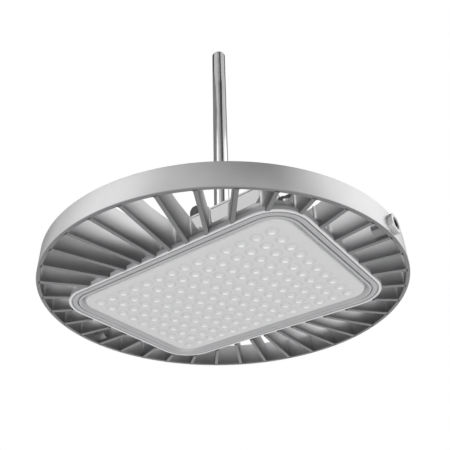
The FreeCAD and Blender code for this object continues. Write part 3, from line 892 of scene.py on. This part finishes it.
# ---- window ----
@dataclass
class Window:
    """The lens frame and the seal behind the lens cover.

    From the outside inwards the frame has a ridge, a narrow crease, a flat land, a groove, a bead and a
    sloping throat.
    """

    finishes: Workshop
    corner_r: float = 45 * MM
    crest_drop: float = 0.9 * MM
    ridge: float = 4.4 * MM
    ridge_rise: float = 1.98 * MM
    shoulder: tuple[float, float] = (3.3 * MM, 0.225 * MM)
    crease: float = 1.1 * MM
    crease_depth: float = 1.5 * MM
    land: float = 5.7 * MM
    groove: float = 1.5 * MM
    groove_depth: float = 2.4 * MM
    groove_edge: float = 0.4 * MM
    bead: float = 3.2 * MM
    bead_drop: float = 0.5 * MM
    throat: float = 4.0 * MM
    smooth_angle: float = 30.0
    seal_edge: float = 0.2 * MM

    def __post_init__(self) -> None:
        """Reads the frame's place from the CAD node."""
        low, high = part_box("lens_frame")
        self.shape = RoundedRectangle(high.x, high.y, self.corner_r)
        self.crest_z = low.z
        self.back_z = high.z
        self.throat_end = self.ridge + self.crease + self.land + self.groove + self.bead + self.throat

    def profile(self) -> Outline:
        """The frame's section.

        Returns:
            Inset and height of each corner.
        """
        face = self.crest_z + self.crest_drop
        land = self.ridge + self.crease
        groove = land + self.land
        bead = groove + self.groove
        ridge_r = self.ridge / 2
        inset, height = self.shoulder
        outline = [(0.0, self.back_z)]
        outline += arc((ridge_r, self.crest_z + self.ridge_rise), ridge_r, 180, 270, 4, self.ridge_rise)
        outline += [(inset, self.crest_z + height), (self.ridge, face),
                    (self.ridge, face + self.crease_depth), (land, face + self.crease_depth), (land, face),
                    (groove - self.groove_edge, face), (groove, face + self.groove_edge),
                    (groove, face + self.groove_depth), (bead, face + self.groove_depth)]
        outline += arc((bead + self.bead / 2, face + self.bead_drop), self.bead / 2, 180, 360, 6,
                       self.crest_drop)
        return outline + [(self.throat_end, self.back_z)]

    def build(self) -> None:
        """Builds the frame and the seal."""
        ring = self.shape.sweep("lens_frame_ring", self.profile(), True, self.smooth_angle)
        dress(ring, self.finishes.frame, "lens_frame")
        soften_node("cover_seal", self.seal_edge, self.finishes.rubber, 1)


# ---- light modules ----
@dataclass
class LightModules:
    """The lens cover with its 140 lenses, and the boards, pads and reflector behind it."""

    finishes: Workshop
    window: Window
    columns: int = 14
    rows: int = 10
    border_x: float = 33.8 * MM
    border_y: float = 30.25 * MM
    dome_share: float = 0.375
    dome_height: float = 2.4 * MM
    dome_sink: float = 0.3 * MM
    dome_steps: int = 20
    dome_rings: int = 5
    face_gap: float = 0.4 * MM
    face_wall: float = 3.0 * MM
    face_round: float = 3.2 * MM
    flange_inset: float = 14 * MM
    flange: float = 2.5 * MM
    chip_half: float = 2.5 * MM
    reflector_edge: float = 0.3 * MM

    def __post_init__(self) -> None:
        """Works out the lenses' places and spacing from the window and the CAD node."""
        low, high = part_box("lens_cover")
        self.tip_z = low.z
        self.face_z = low.z + self.dome_height
        self.back_z = high.z
        pitch_x = 2 * (self.window.shape.half_x - self.border_x) / self.columns
        pitch_y = 2 * (self.window.shape.half_y - self.border_y) / self.rows
        self.array = LensArray(self.columns, self.rows, pitch_x, pitch_y)
        self.dome_r = min(pitch_x, pitch_y) * self.dome_share

    def shell(self) -> Piece:
        """The cover without its lenses: the flange and the raised hollow face.

        Returns:
            The object.
        """
        outer = self.window.throat_end + self.face_gap
        inner = outer + self.face_wall
        corner = (outer + self.face_round, self.face_z + self.face_round)
        back, front = self.back_z, self.back_z - self.flange
        profile = [(inner, self.face_z + self.face_wall), (inner, back), (self.flange_inset, back),
                   (self.flange_inset, front), (outer, front)]
        profile += arc(corner, self.face_round, 180, 270, 6)
        return self.window.shape.sweep("shell", profile)

    def lenses(self) -> Piece:
        """All the lenses as low domes that start a little inside the face.

        Returns:
            The object.
        """
        ball_r = (self.dome_r ** 2 + self.dome_height ** 2) / (2 * self.dome_height)
        lean = math.degrees(math.asin(self.dome_r / ball_r))
        side = arc((0.0, self.tip_z + ball_r), ball_r, lean - 90, -90, self.dome_rings)
        side[0] = (self.dome_r, self.face_z + self.dome_sink)
        turns = [2 * math.pi * k / self.dome_steps for k in range(self.dome_steps)]
        skin = Skin()
        for x, y in self.array.middles():
            skin.loft([[(x + r * math.cos(t), y + r * math.sin(t), z) for t in turns] for r, z in side])
        return skin.piece("lenses")

    def build(self) -> None:
        """Builds the cover and dresses what lies behind it."""
        lens = LensPlastic("milky_lens", self.array, self.dome_r).make()
        board = CircuitBoard("circuit_board", self.array, self.chip_half).make()
        cover = join("lens_cover_optic", [self.shell(), self.lenses()])
        dress(cover, lens, "lens_cover")
        for side in Side:
            paint(side.node("led_board"), board)
            paint(side.node("thermal_pad"), self.finishes.pad)
        soften_node("reflector", self.reflector_edge, self.finishes.white)


# ---- heat sink ----
@dataclass(frozen=True)
class FinPart:
    """A part of a fin that runs from a wall out to the rim.

    The fin's direction is its turn and the whole fin starts at inner_r. The wall has an inset from the
    window's outline, and the part starts a little inside it. A part without an upper edge of its own has
    the fin's, and flares into the wall.
    """

    turn: float
    inner_r: float
    inset: float
    sink: float
    low_z: float
    high_z: Optional[float]
    stations: int


@dataclass
class HeatSink:
    """The casting: rim, radial fins, lamp tray, post bosses and side bosses."""

    finishes: Workshop
    window: Window
    fin_count: int = 36
    rim_wall_bottom: float = 4.6 * MM
    rim_wall_top: float = 3.6 * MM
    rim_height: float = 31 * MM
    rim_edge: float = 0.9 * MM
    rim_chamfer: float = 0.35 * MM
    rim_steps: int = 288
    foot_width: float = 4.8 * MM
    crest_width: float = 2.6 * MM
    fin_rise: float = 20.5 * MM
    fin_rim_drop: float = 1.5 * MM
    fin_overlap: float = 0.5 * MM
    fin_least: float = 0.2 * MM
    fin_smooth_angle: float = 32.0
    low_stations: int = 14
    high_stations: int = 22
    shoulder: tuple[float, float] = (172 * MM, 31 * MM)
    crest_r: float = 128 * MM
    crest_overlap: float = 1.0 * MM
    crest_least: float = 1.0 * MM
    long_r: float = 62 * MM
    short_r: float = 96 * MM
    end_slope: float = 9 * MM
    edge_r: float = 0.8 * MM
    root_r: float = 4.0 * MM
    root_share: float = 0.55
    tray_inset: float = 5 * MM
    tray_edge: float = 1.6 * MM
    wall_overlap: float = 0.3 * MM
    pocket_gap: float = 0.4 * MM
    flange_pocket: float = 13 * MM
    cavity_inset: float = 19 * MM
    floor_thickness: float = 6 * MM
    boss_r: float = 11.5 * MM
    boss_length: float = 25 * MM
    boss_edge: float = 1.2 * MM
    boss_steps: int = 64
    bush_r: float = 7 * MM
    bush_depth: float = 20.6 * MM
    bush_edge: float = 0.4 * MM
    posts: int = 4
    post_boss_r: float = 8 * MM
    nipple_boss_r: float = 9 * MM
    standing_edge: float = 0.8 * MM
    standing_steps: int = 40

    def __post_init__(self) -> None:
        """Reads the casting's place from the CAD nodes."""
        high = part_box("heat_sink")[1]
        self.rim_r = high.y
        self.boss_face = high.x
        self.crest_z = high.z
        self.deck_z = high.z - self.fin_rise
        self.floor_z = self.deck_z - self.floor_thickness
        self.ledge_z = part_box("cover_seal")[1].z
        bush_low, bush_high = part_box("side_bush_right")
        self.boss_z = (bush_low.z + bush_high.z) / 2

    def half_width(self, z: float) -> float:
        """Half of a fin's thickness at a height."""
        return (self.foot_width + (self.crest_width - self.foot_width) * z / self.crest_z) / 2

    def top_z(self, r: float, inner_r: float) -> float:
        """The height of a fin's top edge at a radius.

        Args:
            r: The radius.
            inner_r: Where the fin starts.

        Returns:
            The height.
        """
        joint_z = self.rim_height - self.fin_rim_drop
        corners = [(inner_r, self.deck_z), (inner_r + self.end_slope, self.crest_z),
                   (self.crest_r, self.crest_z), self.shoulder, (self.rim_r - self.rim_wall_top, joint_z)]
        for (r0, z0), (r1, z1) in zip(corners, corners[1:]):
            if r <= r1:
                return z0 + (z1 - z0) * max(0.0, r - r0) / (r1 - r0)
        return joint_z

    def flare(self, distance: float) -> float:
        """How much a fin thickens close to a wall.

        Args:
            distance: From the wall.

        Returns:
            What its half thickness gains.
        """
        if distance >= self.root_r:
            return 0.0
        depth = self.root_r - max(distance, 0.0)
        return (self.root_r - math.sqrt(max(self.root_r ** 2 - depth ** 2, 0.0))) * self.root_share

    def start(self, part: FinPart, offset: float) -> float:
        """The radius where a part of a fin starts, at a sideways offset."""
        return self.window.shape.reach(part.turn, offset, part.inset) - part.sink

    def section(self, part: FinPart, share: float) -> list[Point]:
        """One cross-section of a part of a fin.

        Args:
            part: The part.
            share: How far along the part, from 0 to 1.

        Returns:
            Its points.
        """
        inner, end = self.start(part, 0.0), self.rim_r - self.rim_wall_top + self.fin_overlap
        middle = inner + (end - inner) * share
        flare = self.flare(end - middle)
        low_z = part.low_z
        if part.high_z is None:
            flare = max(flare, self.flare(middle - inner))
            top = max(self.top_z(middle, part.inner_r), low_z + self.fin_least)
            edge = min(self.edge_r, (top - low_z) / 2)
            side = [(0.0, low_z)] + arc((-edge, top - edge), edge, 0, 90, 3)
        else:
            edge = self.edge_r
            side = arc((-edge, low_z + edge), edge, -90, 0, 3) + [(0.0, part.high_z)]
        found = []
        for y, z in mirrored([(self.half_width(z) + flare + inward, z) for inward, z in side]):
            start = self.start(part, y)
            found.append((start + (math.sqrt(end * end - y * y) - start) * share, y, z))
        return swung(found, part.turn)

    def blade(self, part: FinPart) -> list[list[Point]]:
        """The cross-sections of a part of a fin, closer to each other near its ends."""
        shares = [0.5 - 0.5 * math.cos(math.pi * k / part.stations) for k in range(part.stations + 1)]
        return [self.section(part, share) for share in shares]

    def crest(self, turn: float, inner_r: float, outer_r: float) -> list[list[Point]]:
        """The cross-sections of the part of a fin that stands on the tray's back.

        Args:
            turn: The fin's direction, in radians.
            inner_r: Where the fin starts.
            outer_r: The tray's outside wall along the fin.

        Returns:
            Points of each cross-section.
        """
        low_z = self.deck_z - self.fin_overlap
        found = []
        for r in (inner_r, inner_r + self.end_slope / 2, inner_r + self.end_slope,
                  min(self.crest_r, outer_r), outer_r + self.crest_overlap):
            top = max(self.top_z(r, inner_r), low_z + self.crest_least)
            edge = min(self.edge_r, (top - low_z) / 3)
            side = [(self.half_width(low_z), low_z)]
            side += arc((self.half_width(top) - edge, top - edge), edge, 0, 90, 3)
            found.append(swung([(r, y, z) for y, z in mirrored(side)], turn))
        return found

    def fins(self) -> Piece:
        """All the fins as one mesh of closed blades, long and short by turns.

        Returns:
            The object.
        """
        skin = Skin()
        back_z = self.window.back_z
        for number in range(self.fin_count):
            turn = 2 * math.pi * number / self.fin_count
            inner_r = self.short_r if number % 2 else self.long_r
            low = FinPart(turn, inner_r, -self.pocket_gap, 0.0, 0.0, back_z, self.low_stations)
            high = FinPart(turn, inner_r, self.tray_inset, self.wall_overlap, back_z, None,
                           self.high_stations)
            skin.loft(self.blade(low))
            skin.loft(self.blade(high))
            skin.loft(self.crest(turn, inner_r, self.start(high, 0.0)))
        return skin.piece("fins", self.fin_smooth_angle)

    def rim(self) -> Piece:
        """The ring round the fins, with rounded edges.

        Returns:
            The object.
        """
        edge, chamfer, height = self.rim_edge, self.rim_chamfer, self.rim_height
        bottom, top = self.rim_r - self.rim_wall_bottom, self.rim_r - self.rim_wall_top
        outline = [(bottom, chamfer), (bottom + chamfer, 0.0)]
        outline += arc((self.rim_r - edge, edge), edge, -90, 0, 4)
        outline += arc((self.rim_r - edge, height - edge), edge, 0, 90, 4)
        outline += [(top + chamfer, height), (top, height - chamfer)]
        return turned("rim", outline, self.rim_steps)

    def tray(self) -> Piece:
        """The tray that holds the lamp, open downwards.

        Returns:
            The object.
        """
        wall, edge, back_z = self.tray_inset, self.tray_edge, self.window.back_z
        profile = [(self.cavity_inset, self.floor_z), (self.cavity_inset, self.ledge_z),
                   (self.flange_pocket, self.ledge_z), (self.flange_pocket, back_z), (wall, back_z)]
        profile += arc((wall + edge, self.deck_z - edge), edge, 180, 90, 4)
        return self.window.shape.sweep("tray", profile)

    def side_boss(self, sign: int) -> Piece:
        """A boss on the rim, hollow for its bush.

        Args:
            sign: 1 for the boss towards +X and -1 for the other.

        Returns:
            The object.
        """
        length, edge = self.boss_length, self.boss_edge
        outline = [(0.0, 0.0), (self.boss_r, 0.0)]
        outline += arc((self.boss_r - edge, length - edge), edge, 0, 90, 4)
        outline += [(self.bush_r + self.bush_edge, length), (self.bush_r, length - self.bush_edge),
                    (self.bush_r, length - self.bush_depth), (0.0, length - self.bush_depth)]
        foot = Matrix.Translation((sign * (self.boss_face - length), 0.0, self.boss_z))
        lay = Matrix.Rotation(math.radians(90 * sign), 4, "Y")
        return placed(turned("boss", outline, self.boss_steps), foot @ lay)

    def standing_boss(self, node: str, radius: float) -> Piece:
        """The boss under a piece that stands on the tray's back.

        Args:
            node: The piece's CAD node.
            radius: The boss's radius.

        Returns:
            The object.
        """
        low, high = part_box(node)
        edge = self.standing_edge
        outline = [(0.0, self.deck_z - edge), (radius, self.deck_z - edge)]
        outline += arc((radius - edge, self.crest_z - edge), edge, 0, 90, 3)
        outline.append((0.0, self.crest_z))
        middle = (low + high) / 2
        return placed(turned("standing", outline, self.standing_steps),
                      Matrix.Translation((middle.x, middle.y, 0.0)))

    def build(self) -> None:
        """Builds the casting as one piece, and its bushes."""
        parts = [self.rim(), self.fins(), self.tray(), self.side_boss(1), self.side_boss(-1)]
        parts += [self.standing_boss(node, self.post_boss_r) for node in numbered("post_%d", self.posts)]
        parts.append(self.standing_boss("wiring_nipple", self.nipple_boss_r))
        dress(join("heat_sink_casting", parts), self.finishes.casting, "heat_sink")
        # The side bushes are drawn black: painted shade for their dark holes.
        for side in Side:
            soften_node(side.node("side_bush"), self.bush_edge, self.finishes.hole_shade_black)


# ---- housing, hub, pipe and fittings ----
@dataclass
class DriverHousing:
    """The housing above the casting, with what is in it and fixed to it."""

    finishes: Workshop
    cast_edge: float = 0.8 * MM
    cover_edge: float = 0.7 * MM
    cast_steps: int = 3
    seal_edge: float = 0.1 * MM
    moulded_edge: float = 0.4 * MM
    nut_edge: float = 0.5 * MM
    screw_edge: float = 0.3 * MM
    posts: int = 4
    hub_bolts: int = 4
    frame_screws: int = 12
    cover_screws: int = 8

    def build(self) -> None:
        """Builds the housing and its fittings."""
        finishes = self.finishes
        for node, edge in (("driver_housing", self.cast_edge), ("housing_cover", self.cover_edge),
                           ("pole_hub", self.cast_edge)):
            soften_node(node, edge, finishes.housing, self.cast_steps)
        soften_node("housing_seal", self.seal_edge, finishes.rubber, 1)
        for node in ("breather_cap", "gland_body", "gland_cap", "gland_nut"):
            soften_node(node, self.moulded_edge, finishes.black)
        for node in ["pole_nut", "pole_washer"] + numbered("post_%d", self.posts):
            soften_node(node, self.nut_edge, finishes.zinc)
        screws = ["wiring_nipple", "nipple_nut_low", "nipple_nut_high", "earth_screw"]
        screws += numbered("hub_bolt_%d", self.hub_bolts) + numbered("frame_screw_%02d", self.frame_screws)
        screws += numbered("cover_screw_%d", self.cover_screws)
        for node in screws:
            soften_node(node, self.screw_edge, finishes.zinc)
        for side in Side:
            paint(side.node("led_driver"), finishes.case)
        paint("terminal_block", finishes.white)
        paint("surge_protector", finishes.black)


@dataclass
class Pipe:
    """The suspension pipe."""

    finishes: Workshop
    wall: float = 2.6 * MM
    edge: float = 0.5 * MM
    chamfer: float = 0.3 * MM
    steps: int = 96

    def build(self) -> None:
        """Builds the pipe."""
        low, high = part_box("pole")
        radius, inner = high.x, high.x - self.wall
        outline = [(inner, low.z), (radius, low.z)]
        outline += arc((radius - self.edge, high.z - self.edge), self.edge, 0, 90, 4)
        outline += [(inner + self.chamfer, high.z), (inner, high.z - self.chamfer)]
        pipe = turned("suspension_pipe", outline, self.steps)
        dress(pipe, self.finishes.pipe, "pole")


# ---- studio ----
@dataclass(frozen=True)
class Panel:
    """A rectangle that faces the light: a soft lamp, or a dull card.

    Its azimuth is in degrees to the camera's right, its elevation in degrees above the horizon, and its
    distance and size in metres. Its level is a lamp's watts or a card's grey.
    """

    name: str
    azimuth: float
    elevation: float
    distance: float
    size: tuple[float, float]
    level: float


@dataclass
class Studio:
    """Floor, lamps, cards, surroundings and the camera, with sizes in metres and angles in degrees."""

    lens_mm: float = 45.7
    sensor_mm: float = 36.0
    eye: Point = (0.3774, -0.5131, -0.3277)
    heading: float = 36.0
    pitch: float = 34.62
    roll: float = -1.43
    aim_z: float = 0.1
    felt: tuple[float, float] = (0.84, 0.96)
    floor_z: float = -1.5
    floor_half: float = 12.0
    ambient: float = 0.8
    overhead: float = 0.8
    overhead_rise: tuple[float, float] = (0.45, 0.95)
    lamps: tuple[Panel, ...] = (
        Panel("left_softbox", -66, 30, 2.2, (1.6, 1.8), 8.0),
        Panel("right_softbox", 88, 28, 2.2, (2.2, 1.8), 12.0),
        Panel("low_fill", 10, -52, 2.0, (1.8, 1.8), 20.0),
    )
    cards: tuple[Panel, ...] = (
        Panel("camera_card", 6, 42, 2.0, (1.0, 2.4), 0.78),
        Panel("core_card", 29, 46, 1.7, (0.3, 2.6), 0.02),
        Panel("far_left_card", -142, 45, 2.0, (1.3, 2.8), 0.1),
        Panel("far_right_card", 150, 45, 2.0, (0.8, 2.8), 0.16),
        Panel("pipe_flag_left", -102, 57, 0.62, (0.4, 0.42), 0.4),
        Panel("pipe_flag_front", 9, 57, 0.62, (0.1, 0.42), 0.5),
        Panel("pipe_flag_core", 31, 57, 0.6, (0.12, 0.42), 0.12),
    )

    def direction(self, panel: Panel) -> Vector:
        """Where a panel is, seen from the light.

        Args:
            panel: The panel.

        Returns:
            A vector of length 1.
        """
        turn, rise = math.radians(self.heading + panel.azimuth), math.radians(panel.elevation)
        return Vector((math.sin(turn) * math.cos(rise), -math.cos(turn) * math.cos(rise), math.sin(rise)))

    def floor(self) -> None:
        """Lays a wide pale floor."""
        half = self.floor_half
        square = ((-half, -half), (half, -half), (half, half), (-half, half))
        corners = [(x, y, self.floor_z) for x, y in square]
        ground = Skin(corners, [range(4)]).piece("floor")
        coat(ground, Paper("floor_paper").make())

    def lamp(self, panel: Panel) -> None:
        """Sets up a soft rectangular lamp that points at the light.

        Args:
            panel: Its place, size and power.
        """
        data = bpy.data.lights.new(panel.name, "AREA")
        data.shape = "RECTANGLE"
        data.size, data.size_y = panel.size
        data.energy = panel.level
        way = self.direction(panel)
        lamp = in_scene(panel.name, data)
        lamp.location = way * panel.distance + UP * self.aim_z
        lamp.rotation_mode = "QUATERNION"
        lamp.rotation_quaternion = way.to_track_quat("Z", "Y")

    def card(self, panel: Panel) -> None:
        """Sets up a dull card that only reflections show.

        Args:
            panel: Its place, size and grey.
        """
        way = self.direction(panel)
        width, height = panel.size
        across = UP.cross(way).normalized() * width / 2
        up = way.cross(across).normalized() * height / 2
        middle, grey = way * panel.distance, (panel.level,) * 3
        corners = [middle - across - up, middle + across - up, middle + across + up, middle - across + up]
        made = Skin(corners, [range(4)]).piece(panel.name)
        coat(made, Moulded(panel.name + "_felt", grey, grey, *self.felt).make())
        made.visible_camera = False
        made.visible_shadow = False

    def world(self) -> None:
        """Sets up pale surroundings that darken gently overhead, and plain white behind the light."""
        world = bpy.data.worlds.new("studio")
        bpy.context.scene.world = world
        g = Graph(world)
        rise = g.axes(g.signal("ShaderNodeTexCoord", output="Generated"))[2]
        overhead = rise.step(*self.overhead_rise).between(1.0, self.overhead)
        level = g.rays("Is Glossy Ray").between(self.ambient, 1.0) * overhead
        strength = g.rays("Is Camera Ray", "Is Transmission Ray").larger(level)
        sky = g.signal("ShaderNodeBackground", inputs={"Color": WHITE, "Strength": strength})
        g.node("ShaderNodeOutputWorld", inputs={"Surface": sky})

    def camera(self) -> None:
        """Sets up the camera, below the light and looking up at it."""
        data = bpy.data.cameras.new("camera")
        data.lens = self.lens_mm
        data.sensor_width = self.sensor_mm
        turn = Matrix.Rotation(math.radians(self.heading), 4, "Z")
        tilt = Matrix.Rotation(math.radians(90 + self.pitch), 4, "X")
        lean = Matrix.Rotation(math.radians(self.roll), 4, "Z")
        camera = in_scene("camera", data)
        camera.matrix_world = Matrix.Translation(self.eye) @ turn @ tilt @ lean
        bpy.context.scene.camera = camera

    def build(self) -> None:
        """Sets the whole studio up."""
        self.floor()
        self.world()
        for panel in self.lamps:
            self.lamp(panel)
        for panel in self.cards:
            self.card(panel)
        self.camera()
        bpy.context.scene.view_settings.view_transform = "Standard"


def main() -> None:
    """Builds the light, then the studio."""
    logging.basicConfig(level=logging.INFO, format="%(name)s: %(message)s")
    finishes = Workshop()
    window = Window(finishes)
    window.build()
    LightModules(finishes, window).build()
    HeatSink(finishes, window).build()
    DriverHousing(finishes).build()
    Pipe(finishes).build()
    Studio().build()


if __name__ == "__main__":
    main()
